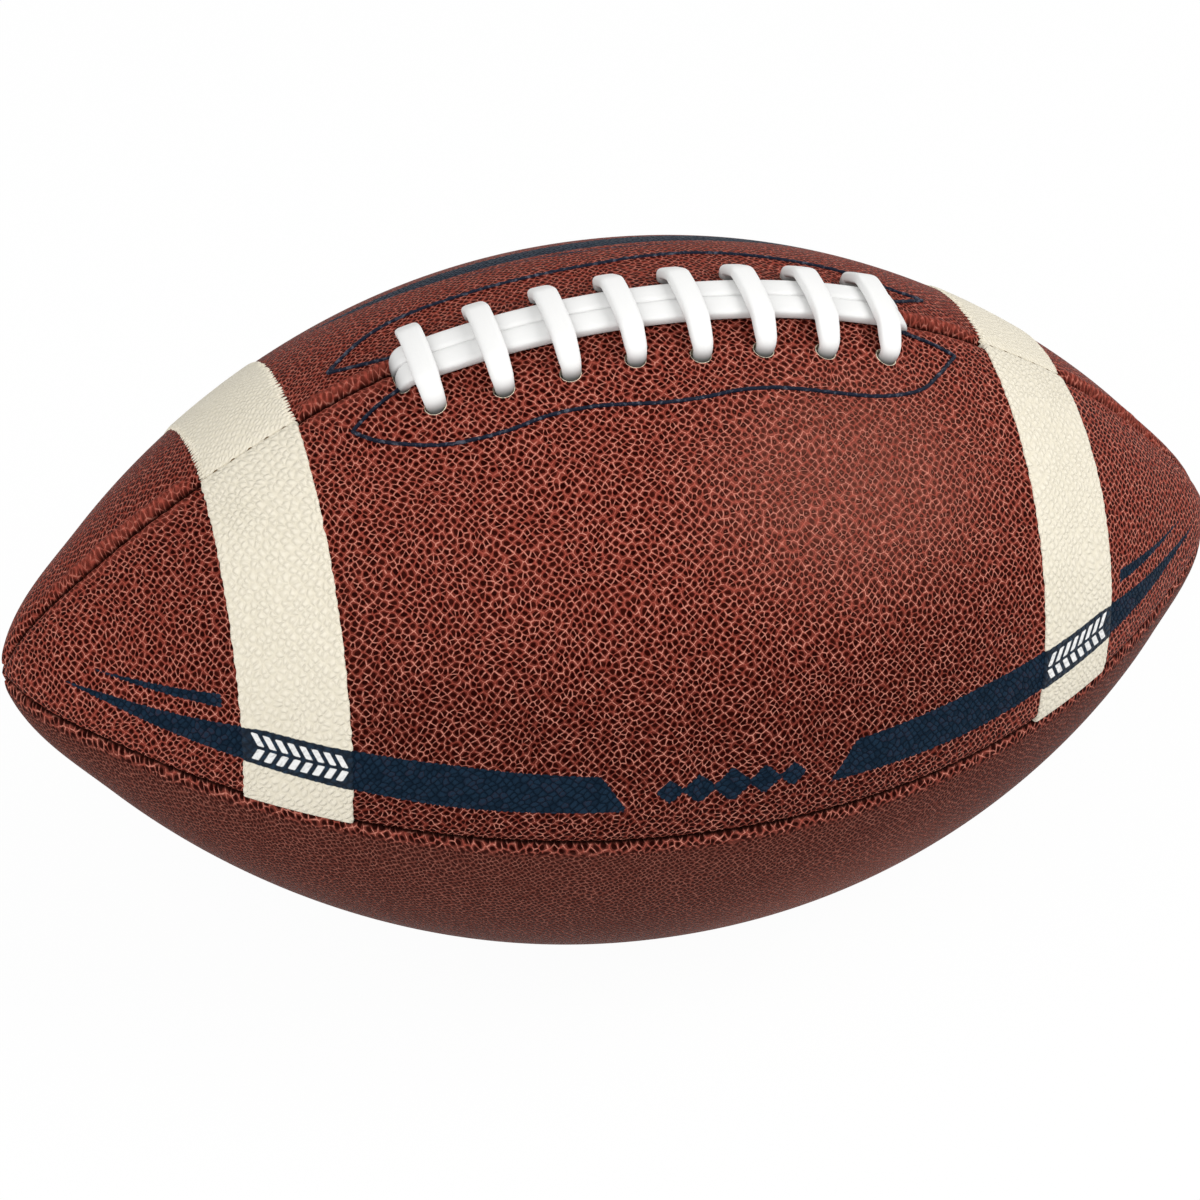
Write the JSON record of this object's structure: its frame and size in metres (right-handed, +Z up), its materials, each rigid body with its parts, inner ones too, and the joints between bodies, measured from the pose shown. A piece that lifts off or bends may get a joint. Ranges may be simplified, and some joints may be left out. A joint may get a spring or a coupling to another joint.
{
  "type": "american football",
  "caption": "Laced leather American football of pointed oval panels with end stripes, lining, inflated bladder and a needle valve.",
  "frame": {"origin": "on the ground under the middle of the ball, which lies on its side with the laces up", "axes": "+X along the long axis, +Z up through the laces, -Y towards the viewer of the picture"},
  "size_m": [0.2888, 0.1612, 0.1671],
  "materials": {
    "leather": "pebbled, dark red-brown, soft sheen",
    "stripe": "cream, fine pebble, matt",
    "lace": "white, matt, rounded flat strip",
    "lining": "woven cotton and polyester layers",
    "facing": "dark coated fabric",
    "bladder": "smooth black butyl and urethane",
    "valve": "moulded black rubber"
  },
  "bodies": {
    "root": {"panel_lace_front": "leather", "panel_lace_back": "leather", "panel_base_front": "leather", "panel_base_back": "leather", "stripe_front_left": "stripe", "stripe_front_right": "stripe", "stripe_back_left": "stripe", "stripe_back_right": "stripe", "lining_lace_front": "lining", "lining_lace_back": "lining", "lining_base_front": "lining", "lining_base_back": "lining", "lace": "lace", "lace_facing_front": "facing", "lace_facing_back": "facing", "lace_tongue": "facing", "bladder": "bladder", "valve_patch": "bladder", "valve_housing": "valve", "valve_core": "valve"}
  },
  "joints": []
}
